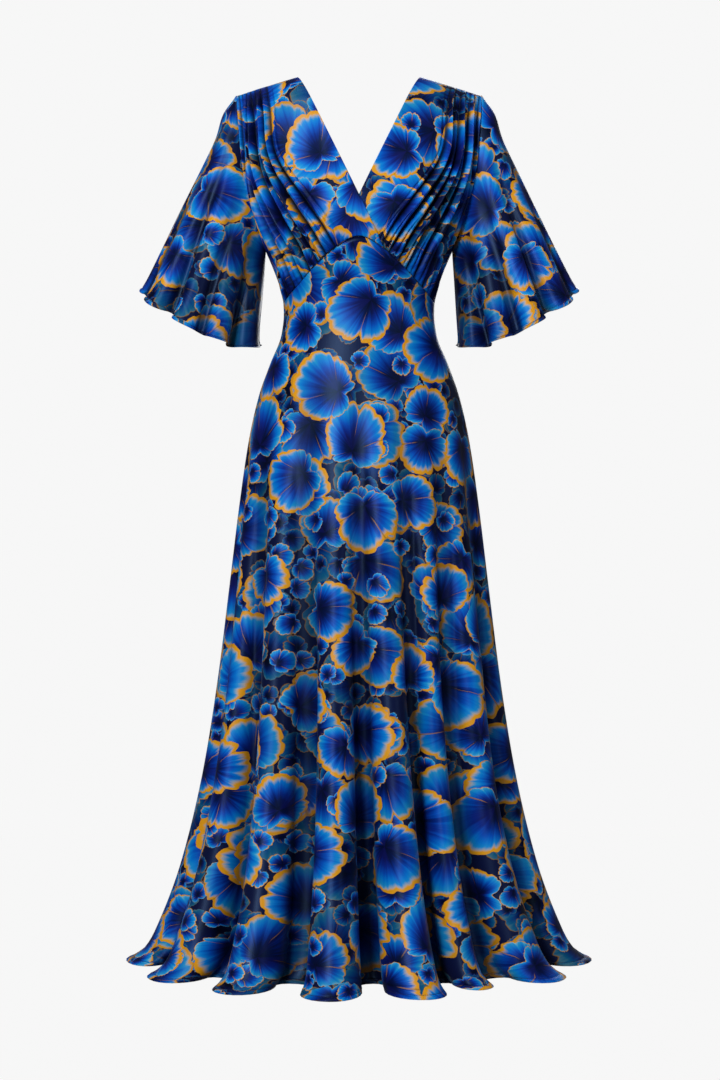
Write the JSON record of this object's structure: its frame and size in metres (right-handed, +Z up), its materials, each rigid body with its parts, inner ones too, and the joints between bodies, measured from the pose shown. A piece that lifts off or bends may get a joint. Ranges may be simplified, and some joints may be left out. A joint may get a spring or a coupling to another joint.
{
  "type": "tea dress",
  "caption": "Full-length printed satin tea dress, worn and hollow: wrap V-neck bodice gathered into an arched seam, flared elbow sleeves and a fluted bias skirt.",
  "frame": {"origin": "midway between the two neck ends of the shoulder seams, where the wearer's shoulders carry the dress", "axes": "+Z up along the dress, +X to the wearer's left, -Y towards the front"},
  "size_m": [0.7432, 0.6311, 1.4191],
  "materials": {
    "printed_satin": "polyester satin, printed all over with azure and cobalt fan-shaped flowers with golden rims on a dark navy ground; soft lustre, muted wrong side"
  },
  "bodies": {
    "root": {"bodice_front_right": "printed_satin", "bodice_front_left": "printed_satin", "bodice_back": "printed_satin", "skirt_front": "printed_satin", "skirt_back": "printed_satin", "sleeve_right": "printed_satin", "sleeve_left": "printed_satin"}
  },
  "joints": []
}
